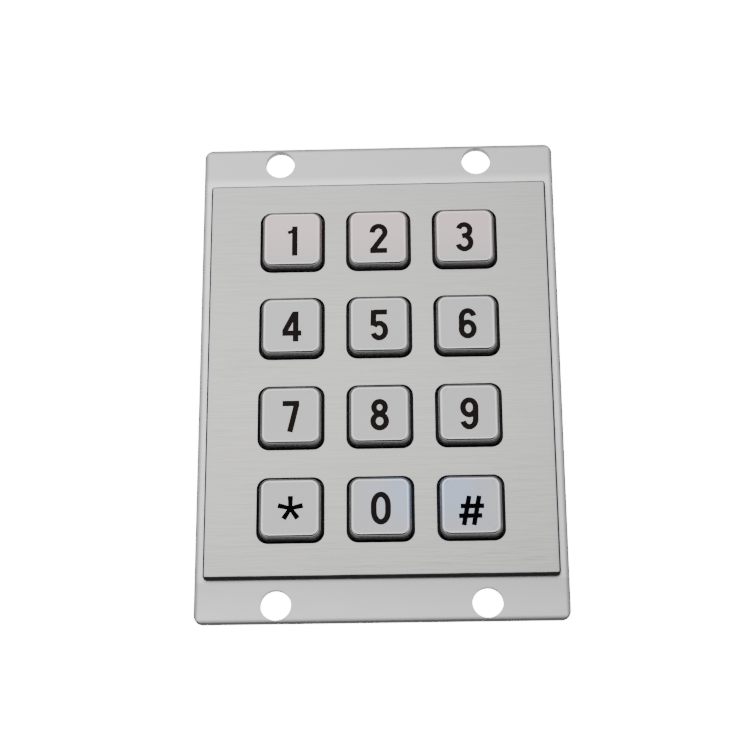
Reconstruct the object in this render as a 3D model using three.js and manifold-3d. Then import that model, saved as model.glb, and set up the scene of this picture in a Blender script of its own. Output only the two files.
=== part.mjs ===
// Twelve-key metal access keypad: a brushed face panel on a flanged mounting plate, with sprung metal
// keys, a silicone keymat and a circuit board stacked behind it on threaded studs.
// Millimetres. +Z points out of the keypad's face, +Y towards the 1-2-3 row. The origin lies under the
// middle of the face, on the plane of the rear standoffs' free ends.
import * as THREE from "three";
import { mergeVertices } from "three/addons/utils/BufferGeometryUtils.js";
import Module from "manifold-3d";

const wasm = await Module();
wasm.setup();

// ---- Driving dimensions -------------------------------------------------------------------------

const PLATE = { width: 78.3, height: 109, thickness: 1.7, corner: 1.9 };
const PANEL = { width: 74.6, height: 90, y: -0.2, thickness: 1.5, corner: 0.7, edge: 0.35 };
const PITCH = { x: 19, y: 20.5 };
const APERTURE = { size: 14.2, corner: 2.4 };
const MOUNTING_HOLE = { diameter: 6.4, spacingX: 44.1, spacingY: 101.3 };

const KEY = {
  size: 13.1,
  corner: 2.1,
  proud: 1.9, // key top above the panel
  edge: 0.75, // rounding around the key top
  travel: 1.0,
  roof: 1.8,
  pocket: 10.3,
  flangeSize: 16.4,
  flangeThickness: 1.2,
  plungerDiameter: 6,
  engraving: 0.2,
};

const GUIDE = { thickness: 5.3, well: 17, wellCorner: 1.6 };
const MAT = { thickness: 1.2, chamber: 4.4 };
const DOME = { height: 2, footRadius: 5.2, topRadius: 3.2, bossRadius: 2.1 };
const PILL = { radius: 2, thickness: 0.5, spare: 0.02 }; // spare keeps the pressed pill off the board
const BOARD = { width: 68, height: 83, thickness: 1.6, corner: 1.5 };

const STUD = { diameter: 3, clearance: 0.3, x: 30.8, cornerY: 37.8, middleY: 12.6 };
const NUT = { acrossFlats: 5.5, thickness: 2.4 };
const WASHER = { diameter: 7, thickness: 0.5 };
const STANDOFF = { acrossFlats: 5.5, length: 10 };
const HEADER = { pins: 8, pitch: 2.54, pin: 0.64, y: -35.5, body: 2.5, reach: 8.4 };

const CORNER_STEPS = 2; // a round corner gets twice as many facets
const HOLE_STEPS = 16; // facets round a mounting hole or a washer
const SMALL_STEPS = 10; // facets round a stud, dome or pill

// ---- Levels, from the standoffs' free ends upwards ----------------------------------------------

const boardBack = STANDOFF.length;
const boardFront = boardBack + BOARD.thickness;
const matFront = boardFront + MAT.thickness;
const plateBack = matFront + GUIDE.thickness;
const plateFront = plateBack + PLATE.thickness;
const panelFront = plateFront + PANEL.thickness;
const keyTop = panelFront + KEY.proud;
const flangeBack = plateBack - KEY.flangeThickness;
const domeTop = matFront + DOME.height;
const pillBottom = boardFront + KEY.travel + PILL.spare;
const pillTop = pillBottom + PILL.thickness;

// ---- Materials ----------------------------------------------------------------------------------

const finish = (color, metalness, roughness) =>
  new THREE.MeshStandardMaterial({ color, metalness, roughness });
const FINISH = {
  plate: finish(0xc6c6c5, 1, 0.42),
  panel: finish(0xbdbdb9, 1, 0.36),
  key: finish(0xc3c4c6, 1, 0.28),
  guide: finish(0x17181a, 0, 0.55),
  silicone: finish(0x8d9193, 0, 0.7),
  carbon: finish(0x101010, 0, 0.9),
  board: finish(0x1f5b36, 0, 0.45),
  steel: finish(0xb4b6b8, 1, 0.35),
  black: finish(0x1b1b1c, 0, 0.5),
  ceramic: finish(0x9a7b58, 0, 0.6),
};

// ---- Shapes and solids --------------------------------------------------------------------------

// A closed outline of a rectangle with round corners, about a centre.
function roundedOutline(target, width, height, radius, x = 0, y = 0) {
  const right = width / 2 - radius;
  const top = height / 2 - radius;
  target.absarc(x + right, y + top, radius, 0, Math.PI / 2);
  target.absarc(x - right, y + top, radius, Math.PI / 2, Math.PI);
  target.absarc(x - right, y - top, radius, Math.PI, 1.5 * Math.PI);
  target.absarc(x + right, y - top, radius, 1.5 * Math.PI, 2 * Math.PI);
  target.closePath();
  return target;
}

const roundedShape = (...sizes) => roundedOutline(new THREE.Shape(), ...sizes);
const roundedHole = (...sizes) => roundedOutline(new THREE.Path(), ...sizes);

// A regular polygon with its flats across the given size; many sides make it a circle.
function polygon(target, sides, radius, x = 0, y = 0) {
  for (let i = 0; i < sides; i++) {
    const angle = (2 * Math.PI * (i + 0.5)) / sides;
    const point = [x + radius * Math.cos(angle), y + radius * Math.sin(angle)];
    if (i === 0) target.moveTo(...point);
    else target.lineTo(...point);
  }
  target.closePath();
  return target;
}

const circleHole = (radius, x, y, steps = SMALL_STEPS) => polygon(new THREE.Path(), steps, radius, x, y);
const hexRadius = (acrossFlats) => acrossFlats / Math.sqrt(3);

// A flat shape given thickness between two heights.
function slab(shape, bottom, top, curveSegments = CORNER_STEPS) {
  const options = { depth: top - bottom, bevelEnabled: false, curveSegments };
  return new THREE.ExtrudeGeometry(shape, options).translate(0, 0, bottom);
}

// The same with a rounded top edge that keeps the outline's own size; the matching bottom edge is
// buried or trimmed by the caller.
function crownedSlab(shape, bottom, top, edge, bevelSegments) {
  const options = {
    depth: top - bottom - 2 * edge,
    bevelThickness: edge,
    bevelSize: edge,
    bevelOffset: -edge,
    bevelSegments,
    curveSegments: CORNER_STEPS,
  };
  return new THREE.ExtrudeGeometry(shape, options).translate(0, 0, bottom + edge);
}

// A profile of [radius, height] points that starts and ends on the axis, spun about +Z.
function spun(profile, steps = SMALL_STEPS) {
  const points = profile.map(([radius, height]) => new THREE.Vector2(radius, height));
  return new THREE.LatheGeometry(points, steps).rotateX(Math.PI / 2);
}

const rod = (radius, bottom, top, steps = SMALL_STEPS) =>
  slab(polygon(new THREE.Shape(), steps, radius), bottom, top);

function toSolid(geometry) {
  const bare = geometry.index ? geometry.toNonIndexed() : geometry.clone();
  bare.deleteAttribute("normal");
  bare.deleteAttribute("uv");
  const merged = mergeVertices(bare, 1e-4);
  const mesh = new wasm.Mesh({
    numProp: 3,
    vertProperties: merged.attributes.position.array,
    triVerts: new Uint32Array(merged.index.array),
  });
  return new wasm.Manifold(mesh);
}

function toGeometry(solid) {
  const { vertProperties, triVerts } = solid.getMesh();
  const geometry = new THREE.BufferGeometry();
  geometry.setAttribute("position", new THREE.BufferAttribute(vertProperties, 3));
  geometry.setIndex(new THREE.BufferAttribute(triVerts, 1));
  return geometry;
}

// One body of a base with the same small piece joined on at a list of [x, y] places.
function joinedAt(base, piece, places) {
  const copies = places.map(([x, y]) => toSolid(piece.clone().translate(x, y, 0)));
  return toGeometry(copies.reduce((body, copy) => body.add(copy), toSolid(base)));
}

const keypad = new THREE.Group();

function addPart(name, geometry, material, x = 0, y = 0) {
  const mesh = new THREE.Mesh(geometry, material);
  mesh.name = name;
  mesh.position.set(x, y, 0);
  keypad.add(mesh);
}

// ---- Places -------------------------------------------------------------------------------------

const LABELS = [
  ["1", "2", "3"],
  ["4", "5", "6"],
  ["7", "8", "9"],
  ["star", "0", "hash"],
];

const keys = LABELS.flatMap((row, rowIndex) =>
  row.map((label, columnIndex) => ({
    label,
    x: (columnIndex - 1) * PITCH.x,
    y: (1.5 - rowIndex) * PITCH.y,
  })),
);

const bothSides = (x, y) => [[x, y], [-x, y], [x, -y], [-x, -y]];
const mountingHoles = bothSides(MOUNTING_HOLE.spacingX / 2, MOUNTING_HOLE.spacingY / 2);
const cornerStuds = bothSides(STUD.x, STUD.cornerY);
const middleStuds = bothSides(STUD.x, STUD.middleY);
const studs = [...cornerStuds, ...middleStuds];
const studBore = STUD.diameter / 2 + STUD.clearance;
const studHoles = studs.map(([x, y]) => circleHole(studBore, x, y));
const apertures = keys.map(({ x, y }) => roundedHole(APERTURE.size, APERTURE.size, APERTURE.corner, x, y));
const headerPins = Array.from({ length: HEADER.pins }, (_, i) => [
  (i - (HEADER.pins - 1) / 2) * HEADER.pitch,
  HEADER.y,
]);

// ---- Front: flanged plate with its welded studs, and raised face panel --------------------------

// The studs are welded to the plate's back. They stop one millimetre past the nuts.
function mountingPlate() {
  const shape = roundedShape(PLATE.width, PLATE.height, PLATE.corner);
  const radius = MOUNTING_HOLE.diameter / 2;
  shape.holes.push(...apertures, ...mountingHoles.map(([x, y]) => circleHole(radius, x, y, HOLE_STEPS)));
  const studEnd = boardBack - WASHER.thickness - NUT.thickness - 1;
  const stud = rod(STUD.diameter / 2, studEnd, plateBack + PLATE.thickness / 2);
  return joinedAt(slab(shape, plateBack, plateFront), stud, studs);
}

// The panel's rounded top edge runs round its outline only, so the apertures are cut afterwards.
function facePanel() {
  const outline = roundedShape(PANEL.width, PANEL.height, PANEL.corner, 0, PANEL.y);
  const buried = 2 * PANEL.edge;
  const crowned = toSolid(crownedSlab(outline, plateFront - buried, panelFront, PANEL.edge, 2));
  const trimmed = roundedShape(PLATE.width, PLATE.height, PLATE.corner);
  const below = toSolid(slab(trimmed, plateFront - 2 * buried, plateFront));
  const openings = apertures.map((hole) => slab(new THREE.Shape(hole.getPoints(CORNER_STEPS)), 0, keyTop));
  const cutters = openings.map(toSolid);
  return toGeometry(cutters.reduce((panel, cutter) => panel.subtract(cutter), crowned.subtract(below)));
}

addPart("mounting_plate", mountingPlate(), FINISH.plate);
addPart("face_panel", facePanel(), FINISH.panel);

// ---- Keys: cast caps with a retaining flange, a hollow underside and a plunger ------------------

// Legends are lines of one width. Each stroke lists its centre line: plain points, or an arc given as
// [centreX, centreY, radiusX, radiusY, fromDegrees, toDegrees].
const LEGEND = { stroke: 1.22, thin: 1.14, arcSteps: 6 };
const LEGEND_STROKES = {
  1: [[[0.6, -4], [0.6, 2.95]], [[-0.65, 1.55], [0.3, 2.4]]],
  2: [[[-1.3, 1.15], [0.1, 1.25, 1.4, 1.45, 170, -25], [-1.25, -3]], [[-1.8, -3.15], [1.95, -3.15]]],
  3: [
    [[-0.05, 1.35, 1.25, 1.35, 165, -60], [-0.55, -0.05]],
    [[-0.05, -1.6, 1.4, 1.55, 75, -165]],
  ],
  4: [[[0.95, -3.7], [0.95, 3.3]], [[0.75, 2.95], [-1.5, -1.45]], [[-1.95, -1.75], [2.2, -1.75]]],
  5: [[[1.8, 2.8], [-1.05, 2.8]], [[-1.1, 3.3], [-1.25, -0.4]], [[0.05, -1.5, 1.35, 1.7, 145, -160]]],
  6: [[[0.2, -1.5, 1.35, 1.6, -180, 180]], [[0.25, 1.1, 1.35, 1.65, 15, 180], [-1.1, -1.5]]],
  7: [[[-1.75, 2.65], [1.85, 2.65]], [[1.3, 2.45], [-0.15, -3.75]]],
  8: [[[0, 1.45, 1.2, 1.3, -180, 180]], [[0, -1.65, 1.4, 1.5, -180, 180]]],
  9: [[[0.1, 1.1, 1.35, 1.65, 0, 360]], [[0.05, -1.55, 1.35, 1.7, 195, 360], [1.45, 1.1]]],
  0: [[[0.1, 0.35, 1.5, 2.3, 0, 180], [0.1, -1, 1.5, 2.3, 180, 360], [1.6, 0.35]]],
  hash: [
    [[-1.6, -4.3], [-0.4, 2.05]],
    [[0.5, -4.3], [1.7, 2.05]],
    [[-2.2, -0.15], [2.7, -0.15]],
    [[-2.6, -2.25], [2.25, -2.25]],
  ],
};
const STAR = { x: 0.12, y: -0.08, reach: 2.7, hub: 0.4, tip: 0.58, angles: [90, 166, 238, 305, 13] };

const radians = THREE.MathUtils.degToRad;

// A stroke's centre line as a list of points, with its arcs stepped out.
function centreLine(stroke) {
  return stroke.flatMap((item) => {
    if (item.length === 2) return [new THREE.Vector2(...item)];
    const [x, y, radiusX, radiusY, from, to] = item;
    const steps = Math.ceil((LEGEND.arcSteps * Math.abs(to - from)) / 180);
    return Array.from({ length: steps + 1 }, (_, i) => {
      const angle = radians(from + ((to - from) * i) / steps);
      return new THREE.Vector2(x + radiusX * Math.cos(angle), y + radiusY * Math.sin(angle));
    });
  });
}

// The two edges of a line of points, half a width away on its left and its right. A line that ends
// where it starts is closed, and runs anticlockwise, so its right edge is the outer one.
function edges(points, halfWidth) {
  const closed = points[0].distanceTo(points.at(-1)) < 0.01;
  const line = closed ? points.slice(0, -1) : points;
  const count = line.length;
  const direction = (i) => {
    const before = line[closed ? (i + count - 1) % count : Math.max(i - 1, 0)];
    const after = line[closed ? (i + 1) % count : Math.min(i + 1, count - 1)];
    return after.clone().sub(before).normalize();
  };
  const shifted = (side) =>
    line.map((point, i) => {
      const along = direction(i);
      return new THREE.Vector2(point.x - side * halfWidth * along.y, point.y + side * halfWidth * along.x);
    });
  return { closed, left: shifted(1), right: shifted(-1) };
}

function strokeSolid(stroke, width, bottom, top) {
  const { closed, left, right } = edges(centreLine(stroke), width / 2);
  if (!closed) return toSolid(slab(new THREE.Shape([...left, ...right.toReversed()]), bottom, top));
  const ring = new THREE.Shape(right);
  ring.holes.push(new THREE.Path(left));
  return toSolid(slab(ring, bottom, top));
}

// One arm of the star: narrow at the hub and wide at the tip.
function starArm(degrees, bottom, top) {
  const along = new THREE.Vector2(1, 0).rotateAround(new THREE.Vector2(), radians(degrees));
  const across = new THREE.Vector2(-along.y, along.x);
  const corner = (reach, half) =>
    new THREE.Vector2(STAR.x, STAR.y).addScaledVector(along, reach).addScaledVector(across, half);
  const outline = [
    corner(0, -STAR.hub),
    corner(STAR.reach, -STAR.tip),
    corner(STAR.reach, STAR.tip),
    corner(0, STAR.hub),
  ];
  return toSolid(slab(new THREE.Shape(outline), bottom, top));
}

function legendSolids(label, bottom, top) {
  if (label === "star") return STAR.angles.map((degrees) => starArm(degrees, bottom, top));
  const width = label === "hash" ? LEGEND.thin : LEGEND.stroke;
  return LEGEND_STROKES[label].map((stroke) => strokeSolid(stroke, width, bottom, top));
}

function keyBlank() {
  const cap = crownedSlab(roundedShape(KEY.size, KEY.size, KEY.corner), flangeBack, keyTop, KEY.edge, 2);
  const flange = slab(roundedShape(KEY.flangeSize, KEY.flangeSize, GUIDE.wellCorner), flangeBack, plateBack);
  const pocket = slab(roundedShape(KEY.pocket, KEY.pocket, 1), 0, keyTop - KEY.roof);
  const plunger = rod(KEY.plungerDiameter / 2, domeTop, keyTop - KEY.roof / 2);
  return toSolid(cap).add(toSolid(flange)).subtract(toSolid(pocket)).add(toSolid(plunger));
}

function engravedKey(blank, label) {
  const cutters = legendSolids(label, keyTop - KEY.engraving, keyTop + 1);
  return toGeometry(cutters.reduce((key, cutter) => key.subtract(cutter), blank));
}

const blank = keyBlank();
for (const { label, x, y } of keys) addPart("key_" + label, engravedKey(blank, label), FINISH.key, x, y);

// ---- Switching: guide frame, silicone keymat with its domes, carbon pills -----------------------

function keyGuide() {
  const shape = roundedShape(BOARD.width, BOARD.height, BOARD.corner);
  const wells = keys.map(({ x, y }) => roundedHole(GUIDE.well, GUIDE.well, GUIDE.wellCorner, x, y));
  shape.holes.push(...wells, ...studHoles);
  return slab(shape, matFront, plateBack);
}

function keymatWeb() {
  const shape = roundedShape(BOARD.width, BOARD.height, BOARD.corner);
  shape.holes.push(...keys.map(({ x, y }) => circleHole(MAT.chamber, x, y)), ...studHoles);
  return slab(shape, boardFront, matFront);
}

// The dome stands on the web, round its air chamber. Its boss carries the pill over the board.
function dome() {
  const shoulder = matFront + 0.6 * DOME.height;
  const wall = DOME.footRadius - MAT.chamber;
  return spun([
    [0, pillTop],
    [DOME.bossRadius, pillTop],
    [DOME.bossRadius, shoulder - 0.1],
    [DOME.bossRadius + wall, shoulder - 0.1],
    [MAT.chamber, matFront],
    [DOME.footRadius, matFront],
    [DOME.footRadius, matFront + 0.3],
    [DOME.topRadius + 0.3, shoulder + 0.2],
    [DOME.topRadius, domeTop],
    [0, domeTop],
  ]);
}

addPart("key_guide", keyGuide(), FINISH.guide);
addPart("keymat", keymatWeb(), FINISH.silicone);
for (const { label, x, y } of keys) {
  addPart("dome_" + label, dome(), FINISH.silicone, x, y);
  addPart("pill_" + label, rod(PILL.radius, pillBottom, pillTop), FINISH.carbon, x, y);
}

// ---- Circuit board and what is soldered to its back ---------------------------------------------

const CHIP = { length: 12.8, width: 7.5, height: 2.3, standing: 0.2, y: 20.5, legs: 10, legPitch: 1.27 };
const LEG = { reach: 1.45, foot: 0.7, thickness: 0.25, width: 0.42, root: 0.5 };
const CAPACITOR = { length: 3.2, width: 1.6, height: 1.3 };
const CAPACITORS = [[-11, 20.5], [11, 20.5], [0, -27.5]];

function circuitBoard() {
  const shape = roundedShape(BOARD.width, BOARD.height, BOARD.corner);
  shape.holes.push(...studHoles, ...headerPins.map(([x, y]) => circleHole(0.55, x, y, 8)));
  return slab(shape, boardBack, boardFront);
}

// The pins are moulded into the header's strip and end inside the board's thickness, so nothing
// stands up under the keymat.
function pinHeader() {
  const strip = roundedShape(HEADER.pins * HEADER.pitch, HEADER.body, 0.3, 0, HEADER.y);
  const top = boardFront - 0.2;
  const bottom = boardBack - HEADER.reach;
  const pin = new THREE.BoxGeometry(HEADER.pin, HEADER.pin, top - bottom).translate(0, 0, (top + bottom) / 2);
  return joinedAt(slab(strip, boardBack - HEADER.body, boardBack, 1), pin, headerPins);
}

// Gull-wing legs leave the chip's long sides, step towards the board and end in flat feet.
function chipLeg() {
  const low = boardBack - CHIP.standing - CHIP.height / 2;
  const high = low + LEG.thickness;
  const footStart = LEG.reach - LEG.foot;
  const outline = [
    [-LEG.root, low],
    [footStart, low],
    [footStart, boardBack - LEG.thickness],
    [LEG.reach, boardBack - LEG.thickness],
    [LEG.reach, boardBack],
    [footStart - LEG.thickness, boardBack],
    [footStart - LEG.thickness, high],
    [-LEG.root, high],
  ].map((point) => new THREE.Vector2(...point));
  const options = { depth: LEG.width, bevelEnabled: false };
  return new THREE.ExtrudeGeometry(new THREE.Shape(outline), options)
    .translate(0, 0, -LEG.width / 2)
    .rotateX(Math.PI / 2);
}

function encoderChip() {
  const shape = roundedShape(CHIP.length, CHIP.width, 0.3, 0, CHIP.y);
  const body = slab(shape, boardBack - CHIP.standing - CHIP.height, boardBack - CHIP.standing, 1);
  const alongSide = Array.from({ length: CHIP.legs }, (_, i) => (i - (CHIP.legs - 1) / 2) * CHIP.legPitch);
  const upperLegs = alongSide.map((x) => [x, CHIP.y + CHIP.width / 2]);
  const lowerLegs = alongSide.map((x) => [x, CHIP.y - CHIP.width / 2]);
  const upper = joinedAt(body, chipLeg().rotateZ(Math.PI / 2), upperLegs);
  return joinedAt(upper, chipLeg().rotateZ(-Math.PI / 2), lowerLegs);
}

const { length, width, height } = CAPACITOR;
const capacitor = new THREE.BoxGeometry(length, width, height).translate(0, 0, boardBack - height / 2);

addPart("circuit_board", circuitBoard(), FINISH.board);
addPart("pin_header", pinHeader(), FINISH.black);
addPart("encoder_chip", encoderChip(), FINISH.black);
CAPACITORS.forEach(([x, y], i) => addPart("capacitor_" + (i + 1), capacitor, FINISH.ceramic, x, y));

// ---- Fasteners: washers and nuts on the middle studs, standoffs on the corner studs -------------

const washerBack = boardBack - WASHER.thickness;

function ring(sides, radius, bottom, top) {
  const shape = polygon(new THREE.Shape(), sides, radius);
  shape.holes.push(circleHole(studBore, 0, 0));
  return slab(shape, bottom, top);
}

const washer = ring(HOLE_STEPS, WASHER.diameter / 2, washerBack, boardBack);
const nut = ring(6, hexRadius(NUT.acrossFlats), washerBack - NUT.thickness, washerBack);
const standoff = ring(6, hexRadius(STANDOFF.acrossFlats), 0, STANDOFF.length);

middleStuds.forEach(([x, y], i) => {
  addPart("washer_" + (i + 1), washer, FINISH.steel, x, y);
  addPart("nut_" + (i + 1), nut, FINISH.steel, x, y);
});
cornerStuds.forEach(([x, y], i) => addPart("standoff_" + (i + 1), standoff, FINISH.steel, x, y));

export default keypad;
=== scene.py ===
"""Twelve-key metal access keypad: the finished look of each piece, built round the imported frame."""

from contextlib import contextmanager
from math import ceil, cos, pi, radians, sin

import bmesh
import bpy
from mathutils import Matrix, Vector


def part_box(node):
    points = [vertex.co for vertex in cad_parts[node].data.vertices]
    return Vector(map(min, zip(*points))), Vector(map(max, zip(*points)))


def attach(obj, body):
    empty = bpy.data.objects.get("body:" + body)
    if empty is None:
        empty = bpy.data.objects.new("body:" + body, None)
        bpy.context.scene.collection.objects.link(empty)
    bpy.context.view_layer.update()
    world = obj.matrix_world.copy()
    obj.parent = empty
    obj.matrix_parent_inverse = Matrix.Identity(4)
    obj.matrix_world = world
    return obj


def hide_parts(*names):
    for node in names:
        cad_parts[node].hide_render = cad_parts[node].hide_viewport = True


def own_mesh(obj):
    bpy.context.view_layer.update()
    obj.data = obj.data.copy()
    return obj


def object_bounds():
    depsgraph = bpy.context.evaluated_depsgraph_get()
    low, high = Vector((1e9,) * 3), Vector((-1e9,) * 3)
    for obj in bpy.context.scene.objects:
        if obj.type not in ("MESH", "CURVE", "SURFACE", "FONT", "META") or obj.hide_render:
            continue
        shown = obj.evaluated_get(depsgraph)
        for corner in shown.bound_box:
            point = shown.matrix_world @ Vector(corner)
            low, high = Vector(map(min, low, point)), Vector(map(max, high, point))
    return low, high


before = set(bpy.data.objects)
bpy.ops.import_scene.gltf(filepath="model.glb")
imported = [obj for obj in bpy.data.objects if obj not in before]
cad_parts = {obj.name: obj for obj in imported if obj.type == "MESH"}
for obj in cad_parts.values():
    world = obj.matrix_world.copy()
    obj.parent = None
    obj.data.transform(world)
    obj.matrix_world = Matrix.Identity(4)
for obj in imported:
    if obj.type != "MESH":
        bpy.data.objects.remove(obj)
cad_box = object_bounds()
MM = 0.001

# ---- Viewpoint ----
# A long lens looks down on the face from past the bottom row of keys, 20 degrees off square, so the
# lower side of every key shows.

LENS_LENGTH = 90.2
SENSOR_WIDTH = 36
EYE_FROM_FACE = Vector((10.3, -138.3, 382.4)) * MM
EYE_TURN = (radians(19.83), radians(1.84), radians(-0.40))

face_centre = Vector((0, 0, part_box("face_panel")[0].z))
camera_data = bpy.data.cameras.new("camera")
camera_data.lens = LENS_LENGTH
camera_data.sensor_width = SENSOR_WIDTH
camera = bpy.data.objects.new("camera", camera_data)
bpy.context.scene.collection.objects.link(camera)
camera.location = face_centre + EYE_FROM_FACE
camera.rotation_euler = EYE_TURN
bpy.context.scene.camera = camera

# ---- Studio ----
# A glowing white table, a softbox and a light tent. The tent is bright overhead and below, and dark
# round its middle and at the hole for the lens, which draws dark lines along the rounded metal edges.


class Wire:
    """A node's output that takes part in sums: each sum adds a Math node."""

    def __init__(self, shading, socket):
        self.shading = shading
        self.socket = socket

    def combine(self, operation, first, second):
        return self.shading.node("ShaderNodeMath", {"operation": operation}, {0: first, 1: second})

    def __add__(self, other):
        return self.combine("ADD", self, other)

    def __radd__(self, other):
        return self.combine("ADD", other, self)

    def __sub__(self, other):
        return self.combine("SUBTRACT", self, other)

    def __rsub__(self, other):
        return self.combine("SUBTRACT", other, self)

    def __mul__(self, other):
        return self.combine("MULTIPLY", self, other)

    def __rmul__(self, other):
        return self.combine("MULTIPLY", other, self)


class Shading:
    """The nodes of one material or of the world."""

    def __init__(self, owner):
        owner.use_nodes = True
        self.tree = owner.node_tree

    def node(self, kind, settings, sockets, output=0):
        """Add a node. Its settings are made first, then the values and wires of its sockets."""
        made = self.tree.nodes.new(kind)
        for name, value in settings.items():
            if name == "stops":
                self.set_stops(made.color_ramp, value)
            else:
                setattr(made, name, value)
        for name, value in sockets.items():
            if isinstance(value, Wire):
                self.tree.links.new(value.socket, made.inputs[name])
            else:
                made.inputs[name].default_value = value
        return Wire(self, made.outputs[output])

    def set_stops(self, ramp, stops):
        for _ in stops[2:]:
            ramp.elements.new(0.5)
        for element, (position, colour) in zip(ramp.elements, stops):
            element.position = position
            element.color = (*colour, 1)


# The tent's brightness from straight below, 0, to straight overhead, 1.
TENT_STOPS = [
    (0.0, (0.80, 0.80, 0.80)),
    (0.30, (0.65, 0.65, 0.66)),
    (0.45, (0.07, 0.07, 0.08)),
    (0.56, (0.06, 0.06, 0.075)),
    (0.64, (0.30, 0.30, 0.31)),
    (0.74, (0.70, 0.70, 0.70)),
    (0.86, (0.96, 0.96, 0.96)),
    (1.0, (1.0, 1.0, 1.0)),
]
HOLE_STARTS = radians(31)
HOLE_IS_DARK = radians(24)
HOLE_DARKNESS = 0.97
TABLE_SIZE = 6
TABLE_GLOW = 16
SOFTBOX_SIZE = 0.9
SOFTBOX_POWER = 3
SOFTBOX_PLACE = (-0.3, 0.5, 1.2)

world = bpy.data.worlds.new("light_tent")
bpy.context.scene.world = world
tent = Shading(world)
direction = tent.node("ShaderNodeTexCoord", {}, {}, "Generated")
upward = tent.node("ShaderNodeSeparateXYZ", {}, {0: direction}, "Z")
tent_light = tent.node("ShaderNodeValToRGB", {"stops": TENT_STOPS}, {0: upward * 0.5 + 0.5})
aim = {0: direction, 1: EYE_FROM_FACE.normalized()}
facing_lens = tent.node("ShaderNodeVectorMath", {"operation": "DOT_PRODUCT"}, aim, "Value")
hole = {"Value": facing_lens, "From Min": cos(HOLE_STARTS), "From Max": cos(HOLE_IS_DARK)}
shadowed = tent.node("ShaderNodeMapRange", {"interpolation_type": "SMOOTHSTEP"}, hole)
backdrop = tent.tree.nodes["Background"]
tent.tree.links.new(tent_light.socket, backdrop.inputs["Color"])
tent.tree.links.new((1 - HOLE_DARKNESS * shadowed).socket, backdrop.inputs["Strength"])


def added(primitive, name, **settings):
    """A new primitive, with nothing else selected and its place and size moved into its mesh."""
    bpy.ops.object.select_all(action="DESELECT")
    primitive(**settings)
    bpy.ops.object.transform_apply(location=True, rotation=True, scale=True)
    piece = bpy.context.object
    piece.name = name
    return piece


floor = (0, 0, cad_box[0].z)
table = added(bpy.ops.mesh.primitive_plane_add, "table", size=TABLE_SIZE, location=floor)
table_paint = bpy.data.materials.new("table_paint")
table_paint.use_nodes = True
table_shader = table_paint.node_tree.nodes["Principled BSDF"]
table_shader.inputs["Base Color"].default_value = (0.9, 0.9, 0.9, 1)
table_shader.inputs["Roughness"].default_value = 0.9
table_shader.inputs["Emission Color"].default_value = (1, 1, 1, 1)
table_shader.inputs["Emission Strength"].default_value = TABLE_GLOW
table.data.materials.append(table_paint)
table.visible_glossy = False
table.visible_diffuse = False

softbox_data = bpy.data.lights.new("softbox", "AREA")
softbox_data.size = SOFTBOX_SIZE
softbox_data.energy = SOFTBOX_POWER
softbox = bpy.data.objects.new("softbox", softbox_data)
bpy.context.scene.collection.objects.link(softbox)
softbox.location = SOFTBOX_PLACE
softbox.rotation_euler = softbox.location.to_track_quat("Z", "Y").to_euler()

# ---- Mounting plate ----
# Stainless sheet, laser cut with twelve square key openings and four mounting holes, then tumbled,
# which leaves a soft satin surface and rounded edges. It carries the face panel and the studs.


def pick(piece):
    """Make a piece the active one and the only one selected."""
    bpy.ops.object.select_all(action="DESELECT")
    bpy.context.view_layer.objects.active = piece
    piece.select_set(True)


@contextmanager
def editing(piece, wanted, kind="EDGE"):
    """Hold a piece in edit mode with only the wanted edges or faces selected."""
    pick(piece)
    bpy.ops.object.mode_set(mode="EDIT")
    bpy.ops.mesh.select_mode(type=kind)
    bpy.ops.mesh.select_all(action="DESELECT")
    mesh = bmesh.from_edit_mesh(piece.data)
    for part in mesh.edges if kind == "EDGE" else mesh.faces:
        if wanted(part):
            part.select_set(True)
    mesh.select_flush_mode()
    bmesh.update_edit_mesh(piece.data)
    yield
    bpy.ops.object.mode_set(mode="OBJECT")


def middle(edge):
    return (edge.verts[0].co + edge.verts[1].co) / 2


def upright(edge):
    return abs((edge.verts[0].co - edge.verts[1].co).normalized().z) > 0.99


def sharp(edge):
    return len(edge.link_faces) == 2 and edge.calc_face_angle() > radians(40)


def flat_edge(edge):
    return sharp(edge) and not upright(edge)


def block(name, low, high, corner=0, steps=8):
    """A box between two corners, with its upright edges rounded."""
    low, high = Vector(low), Vector(high)
    place = (low + high) / 2
    piece = added(bpy.ops.mesh.primitive_cube_add, name, size=1, location=place, scale=high - low)
    if corner:
        with editing(piece, upright):
            bpy.ops.mesh.bevel(offset=corner, segments=steps, affect="EDGES")
    return piece


def tube(name, radius, low, high, x=0, y=0, sides=48):
    """A round bar along Z between two heights; six sides make it a hexagon."""
    size = {"vertices": sides, "radius": radius, "depth": high - low}
    return added(bpy.ops.mesh.primitive_cylinder_add, name, location=(x, y, (low + high) / 2), **size)


def copy_of(piece, name, shift=(0, 0, 0)):
    """Another of the same piece with a mesh of its own, moved in its mesh."""
    twin = piece.copy()
    twin.data = piece.data.copy()
    twin.name = name
    twin.data.transform(Matrix.Translation(shift))
    bpy.context.scene.collection.objects.link(twin)
    return twin


def joined(name, pieces):
    """Several pieces as one object."""
    pick(pieces[0])
    for piece in pieces[1:]:
        piece.select_set(True)
    bpy.ops.object.join()
    pieces[0].name = name
    return pieces[0]


def modified(piece, kind, **settings):
    """A piece with one modifier applied."""
    pick(piece)
    modifier = piece.modifiers.new(kind.lower(), kind)
    for name, value in settings.items():
        setattr(modifier, name, value)
    bpy.ops.object.modifier_apply(modifier=modifier.name)
    return piece


def combined(piece, tool, operation="DIFFERENCE"):
    """Cut a piece with a tool, or weld the two, and throw the tool away."""
    modified(piece, "BOOLEAN", object=tool, operation=operation, solver="EXACT")
    bpy.data.objects.remove(tool)
    return piece


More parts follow.
